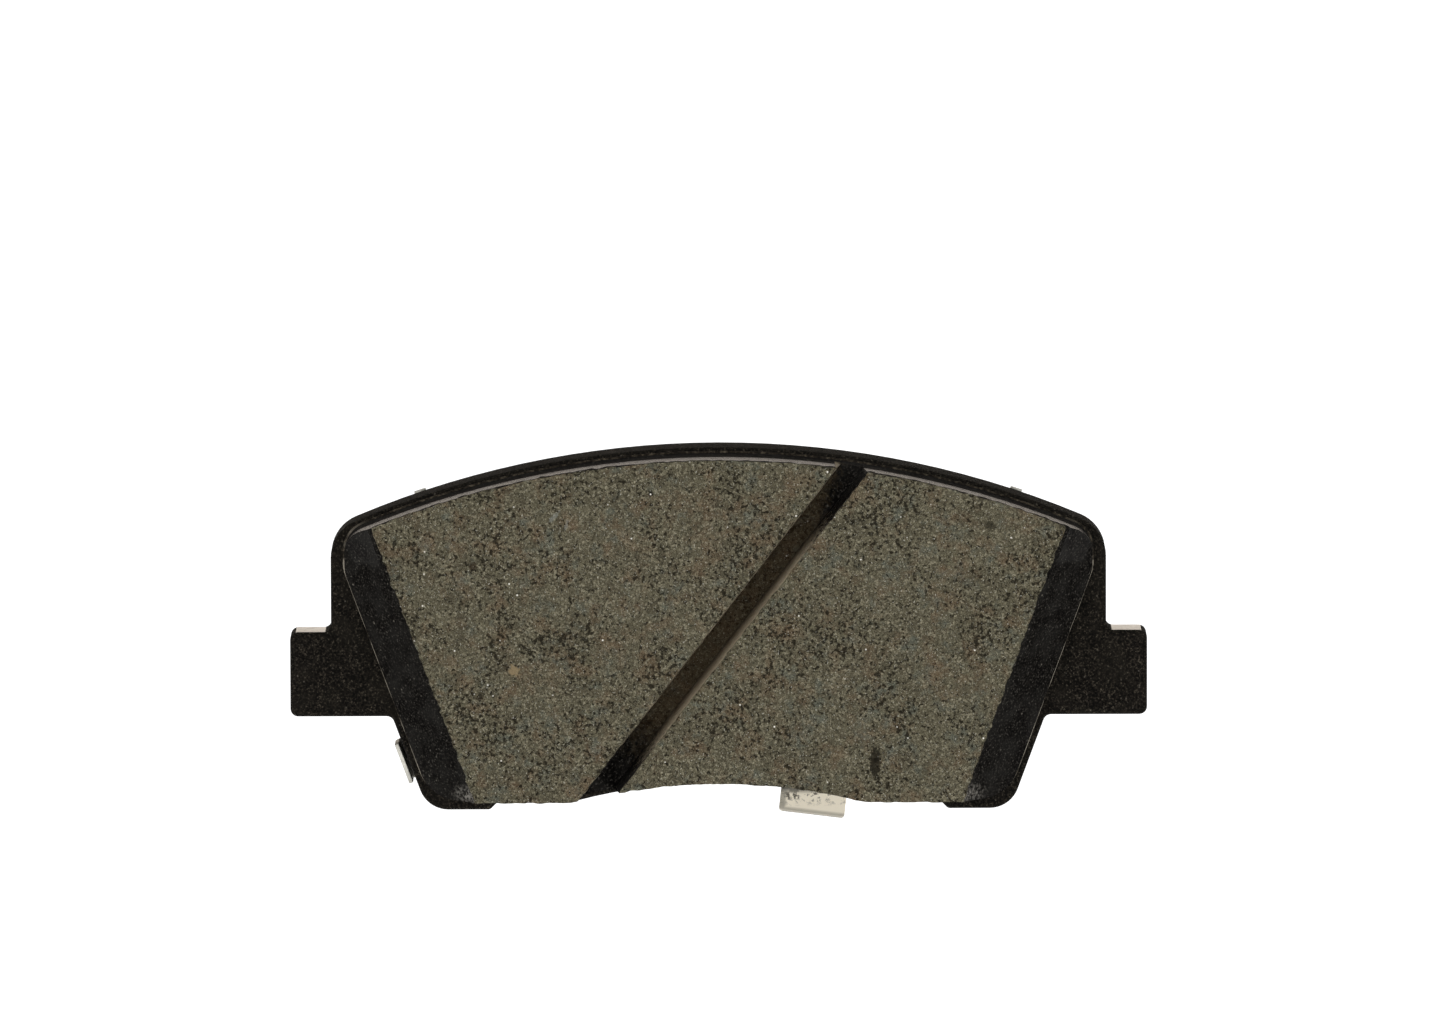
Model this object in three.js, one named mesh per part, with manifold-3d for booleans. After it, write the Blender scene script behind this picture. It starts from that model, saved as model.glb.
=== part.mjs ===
// Rear disc brake pad: a stamped backing plate that carries a moulded friction lining on its
// rotor side, and a rubber-coated damping shim under a clip-on cover shim on its piston side.
// Millimetres, +Z up towards the pad's crown. +Y faces the caliper piston and -Y the rotor.
// The origin is the middle of the cover shim's outer face, half way up the plate.
import * as THREE from 'three';
import { mergeVertices } from 'three/addons/utils/BufferGeometryUtils.js';
import Module from 'manifold-3d';

const wasm = await Module();
wasm.setup();

const deg = THREE.MathUtils.degToRad;

// Thickness of each layer, from the piston side to the rotor side
const COVER_THICK = 0.5;
const RUBBER_THICK = 0.0625;
const CORE_THICK = 0.3125;
const ADHESIVE_THICK = 0.0625;
const PLATE_THICK = 5.5;
const BOND_THICK = 0.125;
const UNDERLAYER_THICK = 1.875;
const FRICTION_THICK = 6.5;

// Backing plate outline
const PLATE_HEIGHT = 42.45; // feet to crown
const BODY_WIDTH = 90.25; // across the straight sides above the ears
const CROWN_RADIUS = 109;
const SHOULDER_RADIUS = 4.7;
const EAR_REACH = 4.775; // how far each ear stands out from the side
const EAR_HEIGHT = 9.9;
const EAR_RISE = 11; // feet to the underside of the ears
const EAR_CORNER = 0.9;
const NECK_INSET = 7.05; // the plate is this much narrower, each side, under the ears
const FLANK_SLOPE = deg(20.4); // lean of the flanks below the ears
const FOOT_WIDTH = 7.3;
const FOOT_STEP = 0.95; // lower edge between the feet, above the feet
const FOOT_CORNER = 3.5;
const STEP_CORNER = 0.5;
const HOLLOW_RADIUS = 66; // arc in the lower edge that clears the hub
const HOLLOW_RISE = 2.17;
const EDGE_ROLL = 0.4; // rounding that the punch leaves on the rotor-side edge

// Holes that the underlayer is moulded into
const KEY_DIAMETER = 10;
const KEY_SPACING_X = 30;
const KEY_COUNT = 3;
const KEY_Z = 3;
const KEY_CLEARANCE = 0.3;
const KEY_RECESS = 0.5; // plug end, below the plate's piston side

// Friction lining
const LINING_LEDGE = { top: 0.6, side: 1.67, flank: 0.97, bottom: 1 }; // plate left bare around it
const LINING_SHOULDER = 3.4;
const LINING_CORNER = 4;
const CHAMFER_WIDTH = 5.3;
const CHAMFER_DEPTH = 6;
const SLOT_MOUTH = 3.3;
const SLOT_FLOOR = 2.2;
const SLOT_DEPTH = 5.25;
const SLOT_LEAN = deg(37.8); // from upright, leaning right
const SLOT_Z = -0.54; // where its centre line crosses the pad's

// Shims
const COVER_LEDGE = { top: 0.35, side: 1, flank: 0.7, bottom: 0.6 };
const DAMPER_LEDGE = { top: 1.2, side: 2.2, flank: 1.6, bottom: 1.6 };
const SHIM_SHOULDER = 3.8;
const SHIM_CORNER = 3;
const TAB_BEND = 0.5; // inner radius of each bent tab
const LOWER_TAB = { width: 7.7, length: 3.5, splay: deg(65), across: 11.2, lean: deg(7), gap: 0.25 };
const SIDE_TAB = { width: 4.9, length: 3.6, splay: 0, rise: 5.5, gap: 0.5 };
const NIB_WIDTH = 1.4;
const NIB_PROUD = 0.15; // above the plate's crown
const NIB_ANGLE = deg(18.6); // either side of the crown's middle
const WINDOW_LENGTH = 15;
const WINDOW_WIDTH = 5;
const WINDOW_X = 20;
const WINDOW_Z = 3;

const CHORD_ERROR = 0.01; // how far a facet may cut inside its arc
const MARGIN = 2; // how far a cutting tool runs past what it cuts

// Levels and planes worked out from the sizes above
const CROWN_TOP = PLATE_HEIGHT / 2;
const FEET = -PLATE_HEIGHT / 2;
const LOWER_EDGE = FEET + FOOT_STEP;
const EAR_BOTTOM = FEET + EAR_RISE;
const EAR_TOP = EAR_BOTTOM + EAR_HEIGHT;
const NECK = BODY_WIDTH / 2 - NECK_INSET;
const FLANK_NORMAL = new THREE.Vector3(Math.cos(FLANK_SLOPE), 0, -Math.sin(FLANK_SLOPE));
const FLANK_DISTANCE = NECK * FLANK_NORMAL.x + EAR_BOTTOM * FLANK_NORMAL.z;
const FORWARD = new THREE.Vector3(0, -1, 0);

// Where the plate's flank line, moved inwards by inset, crosses a level
function flankX(z, inset = 0) {
  return (FLANK_DISTANCE - inset - z * FLANK_NORMAL.z) / FLANK_NORMAL.x;
}

// The arc that rounds the corner between two straight edges
function roundCorner(before, corner, after, radius) {
  const back = before.clone().sub(corner).normalize();
  const on = after.clone().sub(corner).normalize();
  const half = back.angleTo(on) / 2;
  const centre = back.clone().add(on).normalize().multiplyScalar(radius / Math.sin(half)).add(corner);
  const start = back.multiplyScalar(radius / Math.tan(half)).add(corner).sub(centre);
  const end = on.multiplyScalar(radius / Math.tan(half)).add(corner).sub(centre);
  const clockwise = start.cross(end) < 0;
  return { x: centre.x, z: centre.y, radius, from: start.angle(), to: end.angle(), clockwise };
}

// The arc that rounds the corner between the crown and a straight side, and the crown's own end
function roundShoulder(crownZ, crownRadius, radius, normal, distance) {
  const across = distance - radius - crownZ * normal.z;
  const along = Math.sqrt((crownRadius - radius) ** 2 - across ** 2);
  const x = across * normal.x - along * normal.z;
  const z = across * normal.z + along * normal.x;
  const from = Math.atan2(z, x);
  return { x, z: crownZ + z, radius, from, to: Math.atan2(normal.z, normal.x), clockwise: true };
}

function arcPoints({ x, z, radius, from, to, clockwise }) {
  const curve = new THREE.EllipseCurve(x, z, radius, radius, from, to, clockwise);
  const facet = 2 * radius * Math.acos(1 - CHORD_ERROR / radius);
  return curve.getPoints(Math.ceil(curve.getLength() / facet));
}

// A left-right symmetric outline: the crown, the arcs down the right side, the hollow below,
// and the same arcs back up the left side
function symmetricShape(crownZ, crownRadius, side, hollowZ, hollowRadius, hollowEnd) {
  const crownEnd = side[0].from;
  const arcs = [
    { x: 0, z: crownZ, radius: crownRadius, from: Math.PI - crownEnd, to: crownEnd, clockwise: true },
    ...side,
    { x: 0, z: hollowZ, radius: hollowRadius, from: hollowEnd, to: Math.PI - hollowEnd, clockwise: false },
    ...side.toReversed().map((arc) => ({ ...arc, x: -arc.x, from: Math.PI - arc.to, to: Math.PI - arc.from })),
  ];
  return new THREE.Shape(arcs.flatMap(arcPoints));
}

// Closes an outline's lower right side: rounds its corners, and ends at the hollow
function closedOutline(top, shoulder, corners, bottom, hollowRadius) {
  const hollowZ = bottom + HOLLOW_RISE - hollowRadius;
  const hollowEnd = Math.asin((bottom - hollowZ) / hollowRadius);
  const points = corners.map(([x, z]) => new THREE.Vector2(x, z));
  const first = new THREE.Vector2(shoulder.x, shoulder.z);
  first.x += shoulder.radius * Math.cos(shoulder.to);
  first.y += shoulder.radius * Math.sin(shoulder.to);
  const last = new THREE.Vector2(hollowRadius * Math.cos(hollowEnd), bottom);
  const stops = [first, ...points, last];
  const arcs = corners.map((corner, i) => roundCorner(stops[i], stops[i + 1], stops[i + 2], corner[2]));
  return symmetricShape(top.z, top.radius, [shoulder, ...arcs], hollowZ, hollowRadius, hollowEnd);
}

function plateOutline() {
  const top = { z: CROWN_TOP - CROWN_RADIUS, radius: CROWN_RADIUS };
  const side = BODY_WIDTH / 2;
  const ear = side + EAR_REACH;
  const footEnd = flankX(FEET) - FOOT_WIDTH;
  const right = new THREE.Vector3(1, 0, 0);
  const shoulder = roundShoulder(top.z, top.radius, SHOULDER_RADIUS, right, side);
  const corners = [
    [side, EAR_TOP, EAR_CORNER],
    [ear, EAR_TOP, EAR_CORNER],
    [ear, EAR_BOTTOM, EAR_CORNER],
    [NECK, EAR_BOTTOM, EAR_CORNER],
    [flankX(FEET), FEET, FOOT_CORNER],
    [footEnd, FEET, STEP_CORNER],
    [footEnd - FOOT_STEP, LOWER_EDGE, STEP_CORNER],
  ];
  return closedOutline(top, shoulder, corners, LOWER_EDGE, HOLLOW_RADIUS);
}

// The plate's outline without its ears and feet, moved inwards by a ledge on each side. Its
// flank runs on up past the ears to its side, or to its crown if that comes first.
function insetOutline(ledge, shoulderRadius, cornerRadius) {
  const radius = CROWN_RADIUS - ledge.top;
  const top = { z: CROWN_TOP - CROWN_RADIUS, radius };
  const side = BODY_WIDTH / 2 - ledge.side;
  const bottom = LOWER_EDGE + ledge.bottom;
  const bend = (FLANK_DISTANCE - ledge.flank - side * FLANK_NORMAL.x) / FLANK_NORMAL.z;
  const right = new THREE.Vector3(1, 0, 0);
  const corners = [[flankX(bottom, ledge.flank), bottom, cornerRadius]];
  let shoulder = roundShoulder(top.z, radius, shoulderRadius, right, side);
  if (bend < shoulder.z - cornerRadius / 3) {
    corners.unshift([side, bend, cornerRadius]);
  } else {
    shoulder = roundShoulder(top.z, radius, shoulderRadius, FLANK_NORMAL, FLANK_DISTANCE - ledge.flank);
  }
  return closedOutline(top, shoulder, corners, bottom, HOLLOW_RADIUS + ledge.bottom);
}

// A sheet of one outline, from its piston side at y = 0 to its rotor side at y = -thick
function sheet(shape, thick) {
  const geometry = new THREE.ExtrudeGeometry(shape, { depth: thick, bevelEnabled: false });
  return geometry.rotateX(Math.PI / 2);
}

function solid(geometry) {
  const bare = geometry.clone();
  bare.deleteAttribute('normal');
  bare.deleteAttribute('uv');
  const merged = mergeVertices(bare);
  const mesh = new wasm.Mesh({
    numProp: 3,
    vertProperties: new Float32Array(merged.attributes.position.array),
    triVerts: new Uint32Array(merged.index.array),
  });
  return new wasm.Manifold(mesh);
}

function geometryOf(manifold) {
  const { vertProperties, triVerts } = manifold.getMesh();
  const geometry = new THREE.BufferGeometry();
  geometry.setAttribute('position', new THREE.BufferAttribute(vertProperties, 3));
  geometry.setIndex(new THREE.BufferAttribute(triVerts, 1));
  geometry.computeVertexNormals();
  return geometry;
}

// A bar of one section: across it along outward, up it towards the rotor, with its middle at
// origin
function bar(section, length, outward, origin) {
  const geometry = new THREE.ExtrudeGeometry(section, { depth: length, bevelEnabled: false });
  const along = outward.clone().cross(FORWARD);
  const place = new THREE.Matrix4().makeBasis(outward, FORWARD, along).setPosition(origin);
  return geometry.translate(0, 0, -length / 2).applyMatrix4(place);
}

// Centres of the holes and plugs that key the underlayer to the plate
function keyCentres() {
  const middle = (KEY_COUNT - 1) / 2;
  return Array.from({ length: KEY_COUNT }, (_, i) => new THREE.Vector2((i - middle) * KEY_SPACING_X, KEY_Z));
}

function punchKeyHoles(shape) {
  for (const { x, y } of keyCentres()) {
    const hole = { x, z: y, radius: KEY_DIAMETER / 2, from: 0, to: 2 * Math.PI, clockwise: false };
    shape.holes.push(new THREE.Path(arcPoints(hole).slice(1)));
  }
  return shape;
}

// Stamped plate: square on the piston side, with rolled edges on the rotor side
function backingPlate() {
  const shape = punchKeyHoles(plateOutline());
  const blank = new THREE.ExtrudeGeometry(shape, {
    depth: PLATE_THICK - EDGE_ROLL,
    bevelThickness: EDGE_ROLL,
    bevelSize: EDGE_ROLL,
    bevelOffset: -EDGE_ROLL,
    bevelSegments: 2,
  }).rotateX(Math.PI / 2);
  const width = BODY_WIDTH + 2 * EAR_REACH + 2 * MARGIN;
  const keep = new THREE.BoxGeometry(width, PLATE_THICK + MARGIN, PLATE_HEIGHT + 2 * MARGIN);
  keep.translate(0, -(PLATE_THICK + MARGIN) / 2, 0);
  return geometryOf(solid(blank).intersect(solid(keep)));
}

function bondFilm() {
  const shape = insetOutline(LINING_LEDGE, LINING_SHOULDER, LINING_CORNER);
  return sheet(punchKeyHoles(shape), BOND_THICK);
}

// Underlayer, with a plug moulded through the bond film into each hole of the plate
function underlayer() {
  const shape = insetOutline(LINING_LEDGE, LINING_SHOULDER, LINING_CORNER);
  const reach = BOND_THICK + PLATE_THICK - KEY_RECESS;
  const radius = KEY_DIAMETER / 2 - KEY_CLEARANCE;
  const root = UNDERLAYER_THICK / 2;
  let body = solid(sheet(shape, UNDERLAYER_THICK));
  for (const { x, y } of keyCentres()) {
    const plug = new THREE.CylinderGeometry(radius, radius, reach + root, 48);
    plug.translate(x, (reach - root) / 2, y);
    body = body.add(solid(plug));
  }
  return geometryOf(body);
}

// Cuts the ramp at one end of the lining, where side is 1 at the right and -1 at the left
function chamferCutter(side) {
  const over = 0.5;
  const run = (share) => [CHAMFER_WIDTH * share - CHAMFER_WIDTH, FRICTION_THICK - CHAMFER_DEPTH * share];
  const section = new THREE.Shape([
    new THREE.Vector2(...run(-over)),
    new THREE.Vector2(...run(1 + over)),
    new THREE.Vector2(run(1 + over)[0], run(-over)[1]),
  ]);
  const outward = FLANK_NORMAL.clone();
  outward.x *= side;
  const origin = outward.clone().multiplyScalar(FLANK_DISTANCE - LINING_LEDGE.flank);
  return solid(bar(section, 2 * PLATE_HEIGHT, outward, origin));
}

function slotCutter() {
  const floor = FRICTION_THICK - SLOT_DEPTH;
  const mouth = SLOT_MOUTH / 2;
  const flare = (SLOT_MOUTH - SLOT_FLOOR) / 2 / SLOT_DEPTH;
  const top = mouth + MARGIN * flare;
  const section = new THREE.Shape([
    new THREE.Vector2(-SLOT_FLOOR / 2, floor),
    new THREE.Vector2(SLOT_FLOOR / 2, floor),
    new THREE.Vector2(top, FRICTION_THICK + MARGIN),
    new THREE.Vector2(-top, FRICTION_THICK + MARGIN),
  ]);
  const outward = new THREE.Vector3(Math.cos(SLOT_LEAN), 0, -Math.sin(SLOT_LEAN));
  return solid(bar(section, 2 * PLATE_HEIGHT, outward, new THREE.Vector3(0, 0, SLOT_Z)));
}

// Friction compound, chamfered at both ends and slotted across its face
function frictionBlock() {
  const shape = insetOutline(LINING_LEDGE, LINING_SHOULDER, LINING_CORNER);
  let body = solid(sheet(shape, FRICTION_THICK));
  for (const cutter of [chamferCutter(1), chamferCutter(-1), slotCutter()]) {
    body = body.subtract(cutter);
  }
  return geometryOf(body);
}

function damperLayer(thick) {
  return () => sheet(insetOutline(DAMPER_LEDGE, SHIM_SHOULDER, SHIM_CORNER), thick);
}

// The section of a tab bent towards the rotor: from inside the sheet, round the bend and out
// to its tip. Its outer skin leaves the sheet's edge line at x = 0.
function tabSection({ length, splay }, reach) {
  const bend = Math.PI / 2 - splay;
  const down = -Math.PI / 2;
  const arc = { x: reach - TAB_BEND, z: COVER_THICK + TAB_BEND, from: down, to: down + bend, clockwise: false };
  const outer = arcPoints({ ...arc, radius: TAB_BEND + COVER_THICK });
  const inner = arcPoints({ ...arc, radius: TAB_BEND }).toReversed();
  const tip = new THREE.Vector2(Math.cos(bend), Math.sin(bend)).multiplyScalar(length);
  return new THREE.Shape([
    new THREE.Vector2(-MARGIN, 0),
    ...outer,
    outer.at(-1).clone().add(tip),
    inner[0].clone().add(tip),
    ...inner,
    new THREE.Vector2(-MARGIN, COVER_THICK),
  ]);
}

// A tab that leaves the cover shim's edge at origin, with its inner skin reach out from there
function tab(size, reach, outward, origin) {
  return solid(bar(tabSection(size, reach), size.width, outward, origin));
}

// Tab under the plate's lower edge, set off to the right
function lowerTab() {
  const { across, lean, gap } = LOWER_TAB;
  const sink = HOLLOW_RADIUS - Math.sqrt(HOLLOW_RADIUS ** 2 - across ** 2);
  const edge = LOWER_EDGE + HOLLOW_RISE - sink;
  const outward = new THREE.Vector3(-Math.sin(lean), 0, -Math.cos(lean));
  const slack = (LOWER_TAB.width / 2) * Math.abs(Math.tan(lean) - across / HOLLOW_RADIUS);
  return tab(LOWER_TAB, gap + slack, outward, new THREE.Vector3(across, 0, edge));
}

// Tab beside the plate's left flank
function sideTab() {
  const z = FEET + SIDE_TAB.rise;
  const outward = FLANK_NORMAL.clone();
  outward.x *= -1;
  return tab(SIDE_TAB, SIDE_TAB.gap, outward, new THREE.Vector3(-flankX(z), 0, z));
}

// Locating nib that stands up behind the crown
function nib(angle) {
  const height = NIB_PROUD + COVER_LEDGE.top + MARGIN;
  const geometry = new THREE.BoxGeometry(NIB_WIDTH, COVER_THICK, height);
  geometry.translate(0, -COVER_THICK / 2, CROWN_RADIUS + NIB_PROUD - height / 2);
  geometry.rotateY(angle);
  return solid(geometry.translate(0, 0, CROWN_TOP - CROWN_RADIUS));
}

// Oblong window that shows the damping shim
function windowPath(x) {
  const radius = WINDOW_WIDTH / 2;
  const half = WINDOW_LENGTH / 2 - radius;
  const quarter = Math.PI / 2;
  const right = { x: x + half, z: WINDOW_Z, radius, from: -quarter, to: quarter, clockwise: false };
  const left = { x: x - half, z: WINDOW_Z, radius, from: quarter, to: 3 * quarter, clockwise: false };
  return new THREE.Path([right, left].flatMap(arcPoints));
}

function coverShim() {
  const shape = insetOutline(COVER_LEDGE, SHIM_SHOULDER, SHIM_CORNER);
  shape.holes.push(windowPath(-WINDOW_X), windowPath(WINDOW_X));
  let body = solid(sheet(shape, COVER_THICK));
  for (const piece of [lowerTab(), sideTab(), nib(-NIB_ANGLE), nib(NIB_ANGLE)]) {
    body = body.add(piece);
  }
  return geometryOf(body);
}

const steel = { color: 0xb9b3a4, metalness: 1, roughness: 0.35 };
const rubber = { color: 0x1d1d1e, metalness: 0, roughness: 0.6 };
const paint = { color: 0x1e1c18, metalness: 0, roughness: 0.45 };
const compound = { color: 0x59544a, metalness: 0, roughness: 0.9 };
const resin = { color: 0x3a2c1c, metalness: 0, roughness: 0.8 };

// Each layer lies on the one before it, from the piston side to the rotor side
const layers = [
  ['cover_shim', coverShim, COVER_THICK, steel],
  ['shim_outer_rubber', damperLayer(RUBBER_THICK), RUBBER_THICK, rubber],
  ['shim_core', damperLayer(CORE_THICK), CORE_THICK, steel],
  ['shim_inner_rubber', damperLayer(RUBBER_THICK), RUBBER_THICK, rubber],
  ['shim_adhesive', damperLayer(ADHESIVE_THICK), ADHESIVE_THICK, resin],
  ['backing_plate', backingPlate, PLATE_THICK, paint],
  ['bond_film', bondFilm, BOND_THICK, resin],
  ['underlayer', underlayer, UNDERLAYER_THICK, resin],
  ['friction_block', frictionBlock, FRICTION_THICK, compound],
];

const brakePad = new THREE.Group();
let depth = 0;
for (const [name, build, thick, finish] of layers) {
  const mesh = new THREE.Mesh(build(), new THREE.MeshStandardMaterial(finish));
  mesh.name = name;
  mesh.position.y = -depth;
  brakePad.add(mesh);
  depth += thick;
}

export default brakePad;
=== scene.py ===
"""Looks of a disc brake pad: a powder-coated stamped plate, a moulded and ground friction lining,
rubber-coated shim layers and a bent galvanised cover shim, in a bright, soft studio."""

import math

import bmesh
import bpy
from mathutils import Matrix, Vector


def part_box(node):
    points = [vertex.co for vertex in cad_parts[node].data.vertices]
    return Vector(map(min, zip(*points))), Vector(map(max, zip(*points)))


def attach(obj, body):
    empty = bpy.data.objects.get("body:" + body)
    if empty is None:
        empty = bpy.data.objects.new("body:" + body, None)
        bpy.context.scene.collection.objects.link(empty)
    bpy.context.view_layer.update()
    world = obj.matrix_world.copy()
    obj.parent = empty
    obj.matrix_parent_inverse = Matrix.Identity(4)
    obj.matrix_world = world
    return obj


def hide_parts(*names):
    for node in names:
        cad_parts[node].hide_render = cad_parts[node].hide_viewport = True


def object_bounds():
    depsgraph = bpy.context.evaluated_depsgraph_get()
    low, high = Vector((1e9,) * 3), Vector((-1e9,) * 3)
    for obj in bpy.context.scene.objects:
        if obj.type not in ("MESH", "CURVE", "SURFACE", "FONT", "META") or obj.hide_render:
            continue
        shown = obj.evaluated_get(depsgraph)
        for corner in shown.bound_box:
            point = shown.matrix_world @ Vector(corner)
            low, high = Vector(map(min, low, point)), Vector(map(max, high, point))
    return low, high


MM = 0.001
WELD = 0.001 * MM
FLAT_WITHIN = math.radians(0.4)  # faces that turn less than this are one flat face
QUARTER_TURN = math.pi / 2

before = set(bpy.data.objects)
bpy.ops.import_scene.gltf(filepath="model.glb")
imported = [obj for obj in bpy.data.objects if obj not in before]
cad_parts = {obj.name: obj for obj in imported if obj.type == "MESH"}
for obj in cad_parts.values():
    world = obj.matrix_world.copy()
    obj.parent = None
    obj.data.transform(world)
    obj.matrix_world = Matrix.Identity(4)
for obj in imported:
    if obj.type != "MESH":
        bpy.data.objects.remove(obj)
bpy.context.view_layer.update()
bpy.ops.object.select_all(action="DESELECT")

# The stamped plate
ROLL_WIDTH = 0.46 * MM  # how far the punch draws the rotor-side edge round, along the face
ROLL_DEPTH = 0.5 * MM  # and along the wall
ROLL_STEPS = 5
BURR_BEVEL = 0.12 * MM  # deburred piston-side edge
KEY_HOLE_RADIUS = 5 * MM  # moulding holes that the underlayer's plugs fill
KEY_HOLE_SPACING = 30 * MM
KEY_HOLE_HEIGHT = 3 * MM
BODY_HALF_WIDTH = 45.125 * MM  # the ears stand out beyond this

# The friction lining
GRID_DEPTH = 9  # the lining's mesh is a grid of about 0.28 mm, fine enough for its grains
GRID_SHARE = 0.6  # how much of the grid's cube the lining's width fills
SLOT_MIDDLE = (0, 0, -0.54)  # in mm
SLOT_LEAN = math.radians(37.8)  # the dust slot leans to the right as it goes up
SLOT_HALF_WIDTH = 1.65  # in mm
SLOT_WALL = 1.1  # in mm across from the slot's middle
SLOT_COAT_ENDS = ((-17.5, -12), (18, 23))  # in mm along it: where its coat gives way to the sawn faces' painted shade and light
GLOSS_DEPTHS = ((0.7, 1.0), (4.0, 4.6))  # in mm behind the face: where the crown's gloss starts, ends
GLOSS_HEIGHTS = (8, 9)  # in mm: only walls above this are glossy
FACE_BAND = 0.12 * MM  # what lies this near the rotor face was ground bare
RIM_BAND = 0.9 * MM  # how far from the face its edges are chipped
CHIP_DEPTH = 0.07 * MM
CHIP_LENGTH = 1.1 * MM
GRAIN_SIZE = 0.45 * MM
GRAIN_DEPTH = 0.10 * MM
SCUFF_PLACE = (28.9, -18.4)  # the chamfers' lower tips, in mm, are scuffed pale
SCUFF_HALF_SIZE = (2.4, 1.5)
FLAT = 1000  # stretches a spot's pattern straight through the pad

# Odd lumps in the mix, in mm on the face: middle, half size, lean in degrees, strength, colour
INCLUSIONS = (
    ((18.1, -14.6), (0.6, 1.8), 0, 0.85, "#191712"),
    ((-23.7, -3.8), (0.6, 0.7), 0, 0.7, "#7f6f54"),
    ((-19.0, 14.2), (0.25, 0.9), 40, 0.2, "#9aa09d"),
    ((-17.6, 13.2), (0.2, 0.7), 20, 0.18, "#9aa09d"),
    ((31.5, 13.0), (0.7, 0.5), 0, 0.75, "#27251d"),
    ((-28.5, 8.4), (0.5, 0.5), 0, 0.75, "#2b2219"),
    ((6.3, 9.1), (0.4, 0.7), 30, 0.75, "#30302a"),
)

# The bond line and the shim
FLASH = 0.22 * MM  # resin squeezed out round the lining's foot
SHEET_BEVEL = 0.07 * MM  # broken edges of the 0.5 mm sheet
TAB_TIP = 1.3 * MM  # how far above the lowest point the lower tab's tip goes
TIP_RADIUS = 0.4 * MM
SHEARED_BAND = 0.9 * MM  # how far above the lowest point the tip's torn edge goes
TAB_CORNER = (15.05, 0, -22.9)  # the lower tab's lowest corner, in mm
TAB_LEAN = math.radians(7)
TAB_TOP = (-20.2, -19.4)  # in mm: the lower tab's chalky zinc, painted near-white as painted light, fades out here

# The studio
CAMERA_DISTANCE = 2.0
CAMERA_ELEVATION = math.radians(7.4)
CAMERA_TARGET = Vector((0, -6.5, -5.2)) * MM
AIM_RIGHT = 0.5 * MM
AIM_UP = 18.28 * MM
FRAME_WIDTH = 168.28 * MM  # what the frame takes in at the target
CAMERA_ROLL = math.radians(-0.17)
SENSOR = 36


# ---- Modelling ----


def only(piece):
    """Makes piece the one selected and active object."""
    bpy.ops.object.select_all(action="DESELECT")
    piece.select_set(True)
    bpy.context.view_layer.objects.active = piece


def open_mesh(piece, kind):
    """Opens piece for modelling, with nothing selected."""
    only(piece)
    bpy.ops.object.mode_set(mode="EDIT")
    bpy.ops.mesh.select_mode(type=kind)
    bpy.ops.mesh.select_all(action="DESELECT")


def close_mesh():
    """Ends modelling in the mesh."""
    bpy.ops.object.mode_set(mode="OBJECT")


def pick_faces(piece, wanted):
    """Selects the faces whose centre and normal wanted() accepts."""
    bpy.ops.mesh.select_mode(type="FACE")
    bpy.ops.mesh.select_all(action="DESELECT")
    shape = bmesh.from_edit_mesh(piece.data)
    for face in shape.faces:
        face.select_set(wanted(face.calc_center_median(), face.normal))
    bmesh.update_edit_mesh(piece.data)


def pick_edges(piece, wanted):
    """Selects the edges that wanted() accepts."""
    bpy.ops.mesh.select_mode(type="EDGE")
    bpy.ops.mesh.select_all(action="DESELECT")
    shape = bmesh.from_edit_mesh(piece.data)
    for edge in shape.edges:
        edge.select_set(wanted(edge))
    bmesh.update_edit_mesh(piece.data)


def welded_copy(node, name):
    """A CAD node's shape as a new piece, with its loose triangles welded into flat faces."""
    piece = bpy.data.objects.new(name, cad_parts[node].data.copy())
    bpy.context.scene.collection.objects.link(piece)
    piece.data.materials.clear()
    open_mesh(piece, "VERT")
    bpy.ops.mesh.select_all(action="SELECT")
    bpy.ops.mesh.remove_doubles(threshold=WELD)
    bpy.ops.mesh.dissolve_limited(angle_limit=FLAT_WITHIN)
    close_mesh()
    return piece


def apply(piece, name, kind, **settings):
    """Adds a modifier with its settings and applies it."""
    only(piece)
    modifier = piece.modifiers.new(name, kind)
    for setting, value in settings.items():
        setattr(modifier, setting, value)
    bpy.ops.object.modifier_apply(modifier=name)


def weigh(piece, name, weight):
    """A vertex group in which weight() says how much each vertex takes part."""
    group = piece.vertex_groups.new(name=name)
    for vertex in piece.data.vertices:
        group.add([vertex.index], weight(vertex), "REPLACE")
    return name


def soften(piece, degrees):
    """Smooths the shading except over edges sharper than so many degrees."""
    only(piece)
    bpy.ops.object.shade_smooth_by_angle(angle=math.radians(degrees))


def fit(piece, node):
    """Puts a finished piece in its CAD node's place."""
    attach(piece, "root")
    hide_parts(node)


# ---- Materials ----


def paint(hex_colour):
    """An sRGB hex colour as linear RGBA."""
    channels = [int(hex_colour[i : i + 2], 16) / 255 for i in (1, 3, 5)]
    linear = [c / 12.92 if c <= 0.04045 else ((c + 0.055) / 1.055) ** 2.4 for c in channels]
    return (*linear, 1)


def add(tree, kind, links=None, stops=(), **settings):
    """Adds a node with its settings. links gives an input, by name or number, a value, a node or
    one output of a node. stops are a colour ramp's positions and hex colours."""
    node = tree.nodes.new("ShaderNode" + kind)
    for name, value in settings.items():
        setattr(node, name, value)
    for name, value in (links or {}).items():
        usable = [socket for socket in node.inputs if socket.enabled]
        socket = usable[name] if isinstance(name, int) else next(s for s in usable if s.name == name)
        if isinstance(value, bpy.types.Node):
            value = next(output for output in value.outputs if output.enabled)
        if isinstance(value, bpy.types.NodeSocket):
            tree.links.new(value, socket)
        else:
            socket.default_value = value
    if stops:
        steps = node.color_ramp.elements
        while len(steps) < len(stops):
            steps.new(0.5)
        for step, (position, colour) in zip(steps, stops):
            step.position = position
            step.color = paint(colour)
    return node


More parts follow.
